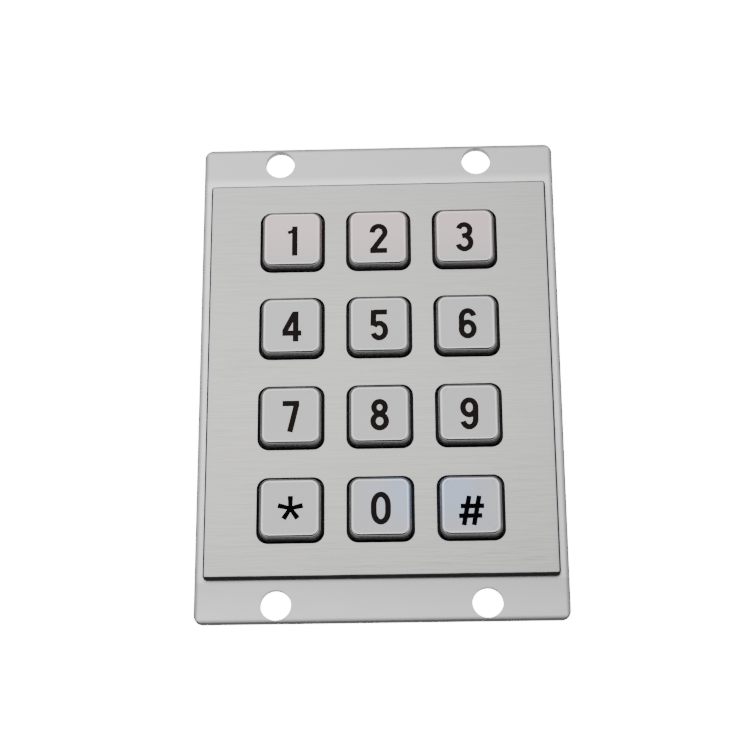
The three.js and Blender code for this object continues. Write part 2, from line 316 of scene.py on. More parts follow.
def rounded(piece, wanted, width, steps=3):
    """Round the wanted edges of a piece."""
    with editing(piece, wanted):
        bpy.ops.mesh.bevel(offset=width, segments=steps, affect="EDGES", clamp_overlap=True)
    return piece


def shaded(piece, degrees=40):
    """Smooth shading that keeps the flat faces flat right up to their rounded edges."""
    pick(piece)
    bpy.ops.object.shade_smooth_by_angle(angle=radians(degrees))
    return modified(piece, "WEIGHTED_NORMAL", keep_sharp=True, weight=90)


class Finish(Shading):
    """A surface finish: one shader, and the nodes that vary it over the piece."""

    def __init__(self, name, colour, metallic, roughness, **fixed):
        self.material = bpy.data.materials.new(name)
        super().__init__(self.material)
        self.shader = self.tree.nodes["Principled BSDF"]
        self.shader.inputs["Base Color"].default_value = (*colour, 1)
        self.shader.inputs["Metallic"].default_value = metallic
        self.shader.inputs["Roughness"].default_value = roughness
        for socket, value in fixed.items():
            self.shader.inputs[socket.replace("_", " ")].default_value = value
        self.place = self.node("ShaderNodeTexCoord", {}, {}, "Object")

    def feed(self, socket, wire):
        self.tree.links.new(wire.socket, self.shader.inputs[socket])

    def noise(self, grain, detail=2, roughness=0.5):
        """Noise from 0 to 1. Its grain has one size in millimetres, or one for each of X, Y and Z."""
        sizes = grain if isinstance(grain, tuple) else (grain, grain, grain)
        scale = [1 / (size * MM) for size in sizes]
        stretched = self.node("ShaderNodeMapping", {}, {"Vector": self.place, "Scale": scale})
        sockets = {"Vector": stretched, "Scale": 1, "Detail": detail, "Roughness": roughness}
        return self.node("ShaderNodeTexNoise", {}, sockets, "Fac")

    def along(self, axis, start, end):
        """A smooth rise from 0 to 1 between two places along X, Y or Z."""
        reach = self.node("ShaderNodeSeparateXYZ", {}, {0: self.place}, axis)
        sockets = {"Value": reach, "From Min": start, "From Max": end}
        return self.node("ShaderNodeMapRange", {"interpolation_type": "SMOOTHSTEP"}, sockets)

    def border(self, low, high, inner, outer):
        """A rise from 0 to 1 towards an outline, between two distances inside it."""
        rise = 2 + self.along("Y", high.y - inner, high.y - outer)
        rise = rise + self.along("X", high.x - inner, high.x - outer)
        rise = rise - self.along("X", low.x + outer, low.x + inner)
        return rise - self.along("Y", low.y + outer, low.y + inner)

    def cut_edge(self, back, front):
        """How far a place lies on the cut edge of a sheet, between its back and its front."""
        behind_front = self.along("Z", front - 0.06 * MM, front - 0.003 * MM)
        return self.along("Z", back, back + 0.1 * MM) - behind_front

    def blend(self, amount, first, second):
        """A colour between two others."""
        first = first if isinstance(first, Wire) else (*first, 1)
        second = second if isinstance(second, Wire) else (*second, 1)
        return self.node("ShaderNodeMix", {"data_type": "RGBA"}, {0: amount, 6: first, 7: second}, 2)

    def relief(self, height, depth, strength=1):
        """Fine relief whose height runs from 0 to 1 over a depth in metres."""
        sockets = {"Strength": strength, "Distance": depth, "Height": height}
        self.feed("Normal", self.node("ShaderNodeBump", {}, sockets))


def fitted(piece, finish, body, slot, *nodes):
    """Give a finished piece its material and the body it moves with, and hide the frame's nodes it stands
    for.
    """
    piece.data.materials.clear()
    piece.data.materials.append(finish.material)
    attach(piece, body)
    if nodes:
        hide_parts(*nodes)
    return piece


LABELS = ["1", "2", "3", "4", "5", "6", "7", "8", "9", "star", "0", "hash"]
key_boxes = {label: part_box("key_" + label) for label in LABELS}
key_places = {label: (low + high) / 2 * Vector((1, 1, 0)) for label, (low, high) in key_boxes.items()}
plate_low, plate_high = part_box("mounting_plate")
panel_low, panel_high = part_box("face_panel")
plate_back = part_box("key_guide")[1].z
key_top = key_boxes["1"][1].z

PLATE_CORNER = 1.9 * MM
OUTLINE_ROUND = 0.38 * MM
RIM_ROUND = 0.22 * MM
OPENING = 14.2 * MM
OPENING_CORNER = 2.4 * MM
HOLE_RADIUS = 3.2 * MM
HOLE_X = 22.05 * MM
HOLE_Y = 50.65 * MM
HOLE_PLACES = [(x * HOLE_X, y * HOLE_Y) for x in (-1, 1) for y in (-1, 1)]


def at_key(first, label, name):
    """Another of the piece at the first key, at the key with this label."""
    return copy_of(first, name, key_places[label] - key_places["1"])


def at_keys(first, name):
    """The same tool at all twelve keys, given the one at the first key."""
    return joined(name, [first, *[at_key(first, label, name) for label in LABELS[1:]]])


def square_at(label, name, size, low, high, corner, steps=10):
    """A square block with round corners, centred on a key."""
    half = Vector((size / 2, size / 2, 0))
    bottom = key_places[label] - half + Vector((0, 0, low))
    top = key_places[label] + half + Vector((0, 0, high))
    return block(name, bottom, top, corner, steps)


def key_openings():
    """A cutter for the twelve openings, taller than anything it cuts."""
    opening = square_at("1", "opening", OPENING, 0, key_top + 5 * MM, OPENING_CORNER)
    return at_keys(opening, "openings")


def in_outline(place, corner, margin):
    """Whether a place lies more than a margin inside an outline that ends at a corner."""
    return abs(place.x) < corner.x - margin and abs(place.y) < corner.y - margin


flange = block("flange_plate", (plate_low.x, plate_low.y, plate_back), plate_high, PLATE_CORNER, 10)
rounded(flange, flat_edge, OUTLINE_ROUND, 5)
for x, y in HOLE_PLACES:
    combined(flange, tube("hole", HOLE_RADIUS, 0, key_top, x, y, 64))
combined(flange, key_openings())


def plate_rim(edge):
    """A sharp edge of a hole or an opening, and not of the outline."""
    return in_outline(middle(edge), plate_high, OUTLINE_ROUND + 0.04 * MM) and flat_edge(edge)


rounded(flange, plate_rim, RIM_ROUND, 4)
shaded(flange)


def painted_panel_glow(finish):
    """How far the flange is painted lighter round the raised panel, as painted light from the panel: most
    above it, less beside and below.
    """
    above = 1 - finish.along("Y", panel_high.y + 0.8 * MM, panel_high.y + 3 * MM)
    above = above * finish.along("Y", panel_high.y - 1 * MM, panel_high.y)
    below = 1 - finish.along("Y", plate_low.y, panel_low.y + 1 * MM)
    beside = 1 + finish.along("X", panel_high.x - 1 * MM, panel_high.x)
    beside = beside - finish.along("X", panel_low.x, panel_low.x + 1 * MM)
    beside = beside * (1 - finish.along("Y", panel_high.y, panel_high.y + 1 * MM))
    beside = beside * finish.along("Y", panel_low.y - 1 * MM, panel_low.y)
    return above + 0.5 * below + 0.75 * beside


def tumbled_steel():
    """Satin stainless: faint clouds, lines and pits, with painted light round the panel, painted shade
    inside its outline, and painted light and shade on its cut edges.
    """
    finish = Finish("tumbled_steel", (0.62, 0.62, 0.615), 1, 0.36)
    clouds = finish.noise((9, 5, 9), 3, 0.55)
    lines = finish.noise((7, 0.3, 7), 3, 0.6)
    pits = finish.noise(0.12, 2, 0.6)
    tone = finish.blend(clouds, (0.64, 0.638, 0.64), (0.77, 0.77, 0.76))
    lined = finish.blend(lines * 0.4, tone, (0.61, 0.61, 0.605))
    # Painted light: the flange is painted whiter round the raised panel, most above it, for light the
    # panel throws on it.
    panel_glow_painted = finish.blend(painted_panel_glow(finish), lined, (1, 1, 1))
    # Painted shade: the face is painted darker just inside the plate's outline, for the dark it reflects
    # there.
    border = finish.border(plate_low, plate_high, 1.1 * MM, 0.4 * MM)
    outline_shade_painted = finish.blend(0.85 * border, panel_glow_painted, (0.22, 0.235, 0.24))
    # Painted reflection: the cut edges are painted pale and made matt, standing for the light that their
    # metal reflects.
    edge = finish.cut_edge(plate_back, plate_high.z)
    pale_painted_walls = finish.blend(edge, outline_shade_painted, (0.95, 0.95, 0.95))
    # Painted shade: a darker grey band is painted along the front of the cut edges.
    front_rim_shade = edge * finish.along("Z", plate_high.z - 0.25 * MM, plate_high.z - 0.1 * MM)
    rim_shade_painted = finish.blend(front_rim_shade, pale_painted_walls, (0.42, 0.42, 0.43))
    # Painted shade: the plate's outer cut edge is painted dark, darker along the top than along the
    # bottom.
    upper = finish.along("Y", -30 * MM, 30 * MM)
    outline = finish.blend(upper, (0.18, 0.19, 0.19), (0.08, 0.085, 0.085))
    finish.feed("Base Color", finish.blend(edge * border * border * border, rim_shade_painted, outline))
    finish.feed("Metallic", 1 - 0.95 * edge)
    finish.feed("Roughness", 0.30 + 0.10 * clouds + 0.06 * lines)
    finish.relief(0.7 * lines + 0.3 * pits, 0.012 * MM, 0.35)
    return finish


fitted(flange, tumbled_steel(), "module", "flange_steel", "mounting_plate")

# ---- Weld studs ----
# Eight M3 studs, capacitor-discharge welded to the back of the mounting plate. Their threads are
# rolled, and everything behind the plate is clamped on them.

STUD_RADIUS = 1.5 * MM
THREAD_PITCH = 0.5 * MM
THREAD_DEPTH = 0.27 * MM
STUD_X = 30.8 * MM
CORNER_STUD_Y = 37.8 * MM
MIDDLE_STUD_Y = 12.6 * MM
CORNER_STUDS = [(x * STUD_X, y * CORNER_STUD_Y) for y in (1, -1) for x in (1, -1)]
MIDDLE_STUDS = [(x * STUD_X, y * MIDDLE_STUD_Y) for y in (1, -1) for x in (1, -1)]


def threaded_rod(name, radius, low, high):
    """A rolled thread: one tooth of the thread is screwed up the rod, then both ends are cut square."""
    turns = ceil((high - low) / THREAD_PITCH) + 2
    tooth = added(bpy.ops.mesh.primitive_plane_add, name, size=THREAD_PITCH)
    with editing(tooth, lambda edge: middle(edge).x > 0):
        bpy.ops.mesh.subdivide(number_cuts=3)
    with editing(tooth, lambda edge: middle(edge).x < 0.4 * THREAD_PITCH):
        bpy.ops.mesh.delete(type="EDGE")
    for point in tooth.data.vertices:
        crest = abs(point.co.y) > 0.3 * THREAD_PITCH
        point.co = (radius - (0 if crest else THREAD_DEPTH), 0, point.co.y + low - THREAD_PITCH)
    settings = {"screw_offset": THREAD_PITCH, "iterations": turns, "steps": 20, "render_steps": 20}
    modified(tooth, "SCREW", use_merge_vertices=True, merge_threshold=0.01 * MM, **settings)
    with editing(tooth, lambda edge: True):
        bpy.ops.mesh.bisect(plane_co=(0, 0, low), plane_no=(0, 0, 1), use_fill=True, clear_inner=True)
        bpy.ops.mesh.select_all(action="SELECT")
        bpy.ops.mesh.bisect(plane_co=(0, 0, high), plane_no=(0, 0, 1), use_fill=True, clear_outer=True)
        bpy.ops.mesh.select_all(action="SELECT")
        bpy.ops.mesh.normals_make_consistent(inside=False)
    return tooth


def rolled_steel(name="rolled_steel"):
    """Bright fastener steel with a little oil in its hollows."""
    finish = Finish(name, (0.55, 0.55, 0.56), 1, 0.3)
    grime = finish.noise(1.5, 4, 0.6)
    marks = finish.noise(0.3, 3, 0.6)
    finish.feed("Base Color", finish.blend(grime, (0.47, 0.465, 0.46), (0.63, 0.635, 0.64)))
    finish.feed("Roughness", 0.22 + 0.2 * marks)
    finish.relief(marks, 0.01 * MM, 0.4)
    return finish


thread_finish = rolled_steel()
stud_end = plate_low.z
first_stud = shaded(threaded_rod("stud", STUD_RADIUS, stud_end, plate_back + 0.2 * MM), 30)
for number, (x, y) in enumerate([*CORNER_STUDS, *MIDDLE_STUDS], 1):
    stud = copy_of(first_stud, f"weld_stud_{number}", (x, y, 0))
    fitted(stud, thread_finish, "module", "fastener_steel")
bpy.data.objects.remove(first_stud)

# ---- Face panel ----
# A second stainless plate, belt brushed along its width and welded on the flange. Its outer edge is
# rounded over, and each opening has a small rounded lead-in that catches the light.

PANEL_CORNER = 0.7 * MM
PANEL_EDGE = 0.5 * MM
LEAD_IN = 0.15 * MM


def on_panel_top(edge):
    return sharp(edge) and middle(edge).z > panel_high.z - 0.05 * MM


def on_lead_in(edge):
    return on_panel_top(edge) and in_outline(middle(edge), panel_high, 2 * MM)


panel = block("brushed_face_panel", panel_low, panel_high, PANEL_CORNER, 8)
rounded(panel, on_panel_top, PANEL_EDGE, 5)
combined(panel, key_openings())
rounded(panel, on_lead_in, LEAD_IN, 3)
shaded(panel)


def brushed_steel():
    """Belt-brushed stainless: fine lines of two lengths along X over a slow change of tone, with painted
    shade towards its top, on its rounded edges and on its sides.
    """
    finish = Finish("brushed_steel", (0.6, 0.6, 0.59), 1, 0.34)
    long_lines = finish.noise((13, 0.42, 13), 2, 0.6)
    short_lines = finish.noise((4, 0.2, 4), 3, 0.6)
    bands = finish.noise((40, 5, 40), 2, 0.5)
    drift = finish.noise((14, 9, 14), 2, 0.5)
    lines = 2.2 * long_lines + 1.2 * short_lines - 1.2
    tone = finish.blend(lines, (0.38, 0.38, 0.365), (0.76, 0.76, 0.745))
    banded = finish.blend(0.4 * bands, tone, (0.61, 0.61, 0.60))
    warmed = finish.blend(0.5 * drift, banded, (0.61, 0.60, 0.57))
    # Painted shade: the panel is painted darker towards its top.
    upper = finish.along("Y", -10 * MM, panel_high.y)
    top_shade_painted = finish.blend(0.25 * upper, warmed, (0.38, 0.38, 0.378))
    border = finish.border(panel_low, panel_high, 2 * MM, 0)
    edged = finish.blend(0.5 * border, top_shade_painted, (0.55, 0.54, 0.585))
    # Painted shade: the panel's rounded top edges are painted darker.
    outline = finish.along("Z", panel_high.z - 0.03 * MM, panel_high.z - 0.25 * MM)
    edge_shade_painted = finish.blend(0.2 * outline, edged, (0.3, 0.3, 0.32))
    # Painted shade: the sides of the panel and of its openings are painted near black, for the shade in
    # the gaps.
    edge = finish.cut_edge(panel_low.z - 0.2 * MM, panel_high.z)
    finish.feed("Base Color", finish.blend(edge, edge_shade_painted, (0.06, 0.06, 0.065)))
    finish.feed("Roughness", 0.26 + 0.12 * lines + 0.3 * outline)
    finish.relief(lines, 0.02 * MM, 0.4)
    return finish


fitted(panel, brushed_steel(), "module", "face_steel", "face_panel")

# ---- Key caps ----
# Twelve cast zinc keys, plated, with a satin top in a shallow dish and a glossy rolled edge. Each has
# a flange that holds it behind the plate, a hollow underside and a plunger over its switch. Below the
# panel's front each key is painted near black as painted shade.
# The legend is cut 0.2 mm deep and filled with enamel.

KEY_SIZE = 13.1 * MM
KEY_CORNER = 2.1 * MM
KEY_DRAFT = 0.15 * MM
KEY_EDGE = 0.6 * MM
KEY_LIP = 0.28 * MM
KEY_DISH = 0.03 * MM
KEY_ROOF = 1.8 * MM
KEY_POCKET = 10.3 * MM
FLANGE_SIZE = 16.4 * MM
FLANGE_CORNER = 1.6 * MM
PLUNGER_RADIUS = 3 * MM
ENGRAVING = 0.2 * MM
FILL_GAP = 0.015 * MM
dome_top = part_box("dome_1")[1].z
flange_back = plate_back - 1.2 * MM
key_face = key_top - KEY_DISH


def facing_up(face):
    return face.normal.z > 0.9999


def draw_out(travel, scale=(1, 1, 1), pivot=(0, 0, 0)):
    """In edit mode, extrude the selected faces and scale the new ones about a place."""
    bpy.ops.mesh.extrude_region_move(TRANSFORM_OT_translate={"value": travel})
    bpy.ops.transform.resize(value=scale, center_override=pivot)


def blank_key(label):
    """An unmarked key: drafted sides, a rolled edge round a shallow dish, and what the plate hides."""
    centre = key_places[label]
    key = square_at(label, "key_cap", KEY_SIZE, flange_back, panel_high.z, KEY_CORNER, 10)
    narrower = 1 - 2 * KEY_DRAFT / KEY_SIZE
    with editing(key, facing_up, "FACE"):
        draw_out((0, 0, key_top - panel_high.z), (narrower, narrower, 1), (*centre.xy, key_top))
    rounded(key, lambda edge: sharp(edge) and middle(edge).z > key_top - 0.05 * MM, KEY_EDGE, 8)
    with editing(key, facing_up, "FACE"):
        bpy.ops.mesh.inset(thickness=KEY_LIP)
        bpy.ops.transform.translate(value=(0, 0, -KEY_DISH))
    collar_front = plate_back - 0.02 * MM
    collar = square_at(label, "collar", FLANGE_SIZE, flange_back, collar_front, FLANGE_CORNER, 6)
    rounded(collar, flat_edge, 0.2 * MM, 2)
    combined(key, collar, "UNION")
    combined(key, square_at(label, "pocket", KEY_POCKET, 0, key_top - KEY_ROOF, 1 * MM, 5))
    plunger_top = key_top - KEY_ROOF / 2
    plunger = tube("plunger", PLUNGER_RADIUS, dome_top + 0.02 * MM, plunger_top, centre.x, centre.y, 40)
    rounded(plunger, lambda edge: sharp(edge) and middle(edge).z < plunger_top - 0.1 * MM, 0.3 * MM, 3)
    return combined(key, plunger, "UNION")


# A stroke is a line of one width. It lists its middle line as plain points, or an arc given as
# (centre x, centre y, radius x, radius y, from degrees, to degrees), in millimetres.
STROKE_WIDTH = 1.22
STROKE_WIDTHS = {"1": [1.22, 0.8], "hash": [1.02] * 4}
STROKES = {
    "1": [[(0.6, -4), (0.6, 3.05)], [(-0.9, 1.5), (0.05, 1.85), (0.55, 2.6)]],
    "2": [[(-1.3, 1.15), (0.1, 1.25, 1.4, 1.45, 170, -25), (-1.25, -3)], [(-1.8, -3.15), (1.95, -3.15)]],
    "3": [
        [(-0.05, 1.35, 1.25, 1.35, 165, -60), (-0.55, -0.05)],
        [(-0.05, -1.6, 1.4, 1.55, 75, -165)],
    ],
    "4": [[(0.95, -3.7), (0.95, 3.3)], [(0.75, 2.95), (-1.5, -1.45)], [(-1.95, -1.75), (2.2, -1.75)]],
    "5": [[(1.8, 2.8), (-1.05, 2.8)], [(-1.1, 3.3), (-1.25, -0.4)], [(0.05, -1.5, 1.35, 1.7, 145, -160)]],
    "6": [[(0.2, -1.5, 1.35, 1.6, 0, 360)], [(0.25, 1.1, 1.35, 1.65, 15, 180), (-1.1, -1.5)]],
    "7": [[(-1.75, 2.65), (1.85, 2.65)], [(1.3, 2.45), (-0.15, -3.75)]],
    "8": [[(0, 1.45, 1.2, 1.3, 0, 360)], [(0, -1.65, 1.4, 1.5, 0, 360)]],
    "9": [[(0.1, 1.1, 1.35, 1.65, 0, 360)], [(0.05, -1.55, 1.35, 1.7, 195, 360), (1.45, 1.1)]],
    "0": [[(0.1, 0.35, 1.5, 2.3, 0, 180), (0.1, -1, 1.5, 2.3, 180, 360), (1.6, 0.35)]],
    "hash": [
        [(-1.6, -4.3), (-0.4, 2.05)],
        [(0.5, -4.3), (1.7, 2.05)],
        [(-2.2, -0.15), (2.7, -0.15)],
        [(-2.6, -2.25), (2.25, -2.25)],
    ],
}
STAR_CENTRE = (0.12, -0.08)
STAR_REACH = 2.68
STAR_HUB = 0.42
STAR_TIP = 0.56
STAR_ANGLES = [90, 166, 238, 305, 13]


def middle_line(stroke, steps_per_turn=48):
    """A stroke's middle line as points in millimetres, with its arcs stepped out."""
    points = []
    for item in stroke:
        if len(item) == 2:
            points.append(Vector(item))
            continue
        x, y, radius_x, radius_y, start, end = item
        steps = ceil(abs(end - start) / 360 * steps_per_turn)
        for step in range(steps + 1):
            angle = radians(start + (end - start) * step / steps)
            points.append(Vector((x + radius_x * cos(angle), y + radius_y * sin(angle))))
    return points


def drawn(name, points, width, low, high):
    """A solid line of one width along points in metres, between two heights."""
    nib = added(bpy.ops.mesh.primitive_plane_add, "nib", size=1)
    nib.data.transform(Matrix.Diagonal((width, high - low, 1, 1)))
    bpy.ops.object.convert(target="CURVE")
    nib = bpy.context.object
    line = bpy.data.curves.new(name, "CURVE")
    line.dimensions = "3D"
    line.twist_mode = "Z_UP"
    line.use_fill_caps = True
    line.bevel_mode = "OBJECT"
    line.bevel_object = nib
    closed = (points[0] - points[-1]).length < 0.01 * MM
    kept = points[:-1] if closed else points
    spline = line.splines.new("POLY")
    spline.points.add(len(kept) - 1)
    for point, place in zip(spline.points, kept):
        point.co = (place.x, place.y, (low + high) / 2, 1)
    spline.use_cyclic_u = closed
    piece = bpy.data.objects.new(name, line)
    bpy.context.scene.collection.objects.link(piece)
    pick(piece)
    bpy.ops.object.convert(target="MESH")
    bpy.data.objects.remove(nib)
    with editing(piece, lambda edge: True):
        bpy.ops.mesh.remove_doubles(threshold=0.001 * MM)
        bpy.ops.mesh.normals_make_consistent(inside=False)
    return piece


def star_arm(degrees, low, high):
    """One arm of the star, narrow at the hub and wide at the tip."""
    hub = Vector((*STAR_CENTRE, 0)) * MM
    arm = block("arm", (0, -STAR_HUB * MM, low), (STAR_REACH * MM, STAR_HUB * MM, high))
    with editing(arm, lambda face: face.normal.x > 0.99, "FACE"):
        bpy.ops.transform.resize(value=(1, STAR_TIP / STAR_HUB, 1), center_override=(0, 0, 0))
    arm.data.transform(Matrix.Translation(hub) @ Matrix.Rotation(radians(degrees), 4, "Z"))
    return arm


def legend(label, low, high):
    """A key's mark as one solid between two heights, centred on its key."""
    if label == "star":
        strokes = [star_arm(degrees, low, high) for degrees in STAR_ANGLES]
    else:
        lines = [[point * MM for point in middle_line(stroke)] for stroke in STROKES[label]]
        widths = STROKE_WIDTHS.get(label, [STROKE_WIDTH] * len(lines))
        strokes = [drawn("stroke", line, width * MM, low, high) for line, width in zip(lines, widths)]
    mark = strokes[0]
    for stroke in strokes[1:]:
        combined(mark, stroke, "UNION")
    mark.data.transform(Matrix.Translation(key_places[label]))
    return mark


def satin_plating():
    """Plated zinc: satin top, glossy edge, painted reflections, a painted highlight on the lip, and
    painted near black below the panel's front as painted shade.
    """
    finish = Finish("satin_plating", (0.6, 0.6, 0.61), 1, 0.24)
    grain = finish.noise(0.25, 3, 0.6)
    patches = 2.4 * finish.noise((12, 9, 12), 1, 0.4) - 0.7
    # Painted reflections: the top row of keys is painted pinker and a patch of the bottom row bluer, for
    # the room they mirror.
    warm_reflection = finish.along("Y", 22 * MM, 34 * MM)
    cool_reflection = (1 - finish.along("Y", -27 * MM, -20 * MM)) * finish.along("Y", -38 * MM, -28 * MM)
    cool_reflection = cool_reflection * finish.along("X", -6 * MM, 6 * MM) * (1 - finish.along("X", 15 * MM, 26 * MM))
    tone = finish.blend(grain * 0.3, (0.46, 0.46, 0.475), (0.41, 0.41, 0.425))
    mottled = finish.blend(0.3 * patches, tone, (0.51, 0.50, 0.51))
    warmed = finish.blend(warm_reflection * 0.9, mottled, (0.64, 0.51, 0.515))
    cool_reflection_painted = finish.blend(cool_reflection, warmed, (0.39, 0.46, 0.63))
    # Painted shade: below the panel's front the key is painted near black and matt, for the shade round
    # it behind the plate.
    shade_below_panel = 1 - finish.along("Z", panel_high.z - 0.9 * MM, panel_high.z - 0.1 * MM)
    # Painted highlight: a thin band where the dish meets the rolled edge is painted lighter.
    rim_highlight = finish.along("Z", key_face + 0.004 * MM, key_face + 0.02 * MM)
    rim_highlight_painted = finish.blend(rim_highlight * 0.4, cool_reflection_painted, (0.80, 0.80, 0.82))
    finish.feed("Base Color", finish.blend(shade_below_panel, rim_highlight_painted, (0.012, 0.012, 0.013)))
    finish.feed("Metallic", 1 - 0.9 * shade_below_panel)
    flat_top = finish.along("Z", key_face - 0.004 * MM, key_face - 0.001 * MM) - rim_highlight
    side = 1 - finish.along("Z", key_top - 1 * MM, key_top - 0.5 * MM)
    finish.feed("Roughness", 0.1 + 0.15 * flat_top + 0.3 * side + 0.05 * grain)
    finish.relief(grain, 0.008 * MM, 0.3)
    return finish


def stoved_enamel(name, colour, gloss):
    """Enamel filled into the cut legend and wiped level, slightly uneven."""
    finish = Finish(name, colour, 0, 0.45, Specular_IOR_Level=gloss)
    wiped = finish.noise(0.5, 3, 0.6)
    finish.feed("Base Color", finish.blend(wiped * 0.5, colour, [2.2 * part for part in colour]))
    finish.feed("Roughness", 0.35 + 0.25 * wiped)
    finish.relief(wiped, 0.02 * MM, 0.5)
    return finish


key_finish = satin_plating()
brown_enamel = stoved_enamel("brown_black_enamel", (0.012, 0.008, 0.007), 0.08)
black_enamel = stoved_enamel("black_enamel", (0.001, 0.001, 0.001), 0.02)
plain_key = blank_key("1")
for label in LABELS:
    key = at_key(plain_key, label, "key_cap_" + label)
    cutter = legend(label, key_face - ENGRAVING, key_face + ENGRAVING)
    fill = copy_of(cutter, "legend_" + label)
    level = Matrix.Translation((0, 0, key_face - ENGRAVING + FILL_GAP))
    squeezed = Matrix.Diagonal((1, 1, (ENGRAVING - 2 * FILL_GAP) / (2 * ENGRAVING), 1))
    fill.data.transform(level @ squeezed @ Matrix.Translation((0, 0, ENGRAVING - key_face)))
    combined(key, cutter)
    shaded(modified(key, "TRIANGULATE"))
    fitted(key, key_finish, "button_" + label, "key_metal", "key_" + label)
    enamel = black_enamel if label in ("star", "hash") else brown_enamel
    fitted(shaded(modified(fill, "TRIANGULATE")), enamel, "button_" + label, "legend_enamel")
bpy.data.objects.remove(plain_key)

# ---- Guide frame ----
# A black moulded frame of glass-filled nylon between the plate and the keymat. Each key slides in a
# square well of its own, and the studs pass through it.

WELL_SIZE = 17 * MM
WELL_CORNER = 1.6 * MM
STUD_HOLE = 1.8 * MM
STACK_CORNER = 1.5 * MM
guide_low, guide_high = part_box("key_guide")


def stud_holes(low, high):
    """A cutter for the eight holes that the studs pass through."""
    holes = [tube("hole", STUD_HOLE, low, high, x, y) for x, y in [*CORNER_STUDS, *MIDDLE_STUDS]]
    return joined("stud_holes", holes)


guide = block("guide_frame", guide_low, guide_high, STACK_CORNER, 8)
combined(guide, at_keys(square_at("1", "well", WELL_SIZE, 0, key_top, WELL_CORNER, 6), "wells"))
combined(guide, stud_holes(0, key_top))
rounded(guide, flat_edge, 0.15 * MM, 2)
shaded(guide)


def moulded_nylon(name, colour, grain_size=0.35):
    """Black moulding plastic: a fine spark-eroded grain, with paler glass fibre flecks."""
    finish = Finish(name, colour, 0, 0.5)
    grain = finish.noise(grain_size, 3, 0.6)
    flow = finish.noise((9, 4, 2), 2, 0.5)
    paler = [2.4 * part for part in colour]
    finish.feed("Base Color", finish.blend(0.5 * flow + 0.3 * grain, colour, paler))
    finish.feed("Roughness", 0.38 + 0.25 * grain)
    finish.relief(grain, 0.03 * MM, 0.5)
    return finish


guide_nylon = moulded_nylon("glass_filled_nylon", (0.012, 0.012, 0.013))
fitted(guide, guide_nylon, "module", "guide_plastic", "key_guide")

# ---- Keymat ----
# One sheet of translucent grey silicone under the guide frame, with a hollow dome for each key. The
# dome collapses when its key is pressed; its boss carries a carbon pill down to the board.

CHAMBER_RADIUS = 4.4 * MM
mat_low, mat_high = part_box("keymat")
mat = block("keymat_web", mat_low, mat_high, STACK_CORNER, 8)
chamber = tube("chamber", CHAMBER_RADIUS, 0, key_top, *key_places["1"].xy, 64)
combined(mat, at_keys(chamber, "chambers"))
combined(mat, stud_holes(0, key_top))
rounded(mat, flat_edge, 0.1 * MM, 2)
shaded(mat)


def silicone_rubber():
    """Grey silicone with dust on it and a soft sheen."""
    finish = Finish("silicone_rubber", (0.24, 0.25, 0.26), 0, 0.55, Sheen_Weight=0.15)
    dust = finish.noise(2, 4, 0.65)
    specks = finish.noise(0.15, 2, 0.7)
    finish.feed("Base Color", finish.blend(dust, (0.20, 0.21, 0.22), (0.33, 0.34, 0.345)))
    finish.feed("Roughness", 0.45 + 0.3 * dust)
    finish.relief(specks, 0.01 * MM, 0.4)
    return finish


silicone = silicone_rubber()
fitted(mat, silicone, "module", "silicone", "keymat")

SPUN_SIDES = 48
FOOT_RADIUS = 5.2 * MM
TOP_RADIUS = 3.2 * MM
BOSS_RADIUS = 2.1 * MM
SKIRT = 0.8 * MM
dome_foot = mat_high.z
pill_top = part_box("pill_1")[1].z
shoulder = dome_foot + 0.6 * (dome_top - dome_foot)


def turned(name, profile, centre):
    """A turned piece: a disc is drawn up or down through each ring of a profile of (radius, height)."""
    radius, height = profile[0]
    disc = {"vertices": SPUN_SIDES, "radius": radius, "fill_type": "NGON"}
    piece = added(bpy.ops.mesh.primitive_circle_add, name, location=(*centre.xy, height), **disc)
    with editing(piece, lambda face: True, "FACE"):
        for next_radius, next_height in profile[1:]:
            share = next_radius / radius
            draw_out((0, 0, next_height - height), (share, share, 1), (*centre.xy, next_height))
            radius, height = next_radius, next_height
        bpy.ops.mesh.select_all(action="SELECT")
        bpy.ops.mesh.normals_make_consistent(inside=False)
    return piece


def arc(radius, height, size, start, end, steps=5):
    """Profile points round a small arc, given its centre and its start and end in degrees."""
    turns = [radians(start + (end - start) * step / steps) for step in range(steps + 1)]
    return [(radius + size * cos(turn), height + size * sin(turn)) for turn in turns]


dome_profile = [
    *arc(BOSS_RADIUS - 0.15 * MM, pill_top + 0.15 * MM, 0.15 * MM, -90, 0, 3),
    (BOSS_RADIUS, shoulder - 0.25 * MM),
    (BOSS_RADIUS + 0.35 * MM, shoulder - 0.1 * MM),
    (BOSS_RADIUS + SKIRT, shoulder - 0.1 * MM),
    (CHAMBER_RADIUS, dome_foot),
    (FOOT_RADIUS, dome_foot),
    (FOOT_RADIUS, dome_foot + 0.15 * MM),
    (FOOT_RADIUS - 0.15 * MM, dome_foot + 0.3 * MM),
    (TOP_RADIUS + 0.55 * MM, shoulder + 0.05 * MM),
    (TOP_RADIUS + 0.25 * MM, shoulder + 0.25 * MM),
    *arc(TOP_RADIUS - 0.2 * MM, dome_top - 0.2 * MM, 0.2 * MM, 0, 90, 4),
]
first_dome = shaded(turned("dome", dome_profile, key_places["1"]), 50)
for label in LABELS:
    dome = at_key(first_dome, label, "switch_dome_" + label)
    fitted(dome, silicone, "module", "silicone", "dome_" + label)
    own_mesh(dome)
bpy.data.objects.remove(first_dome)

# ---- Carbon pills ----
# A disc of carbon-loaded rubber bonded under each dome. It bridges the contact on the board below.

pill_low, pill_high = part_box("pill_1")
pill_radius = (pill_high.x - pill_low.x) / 2


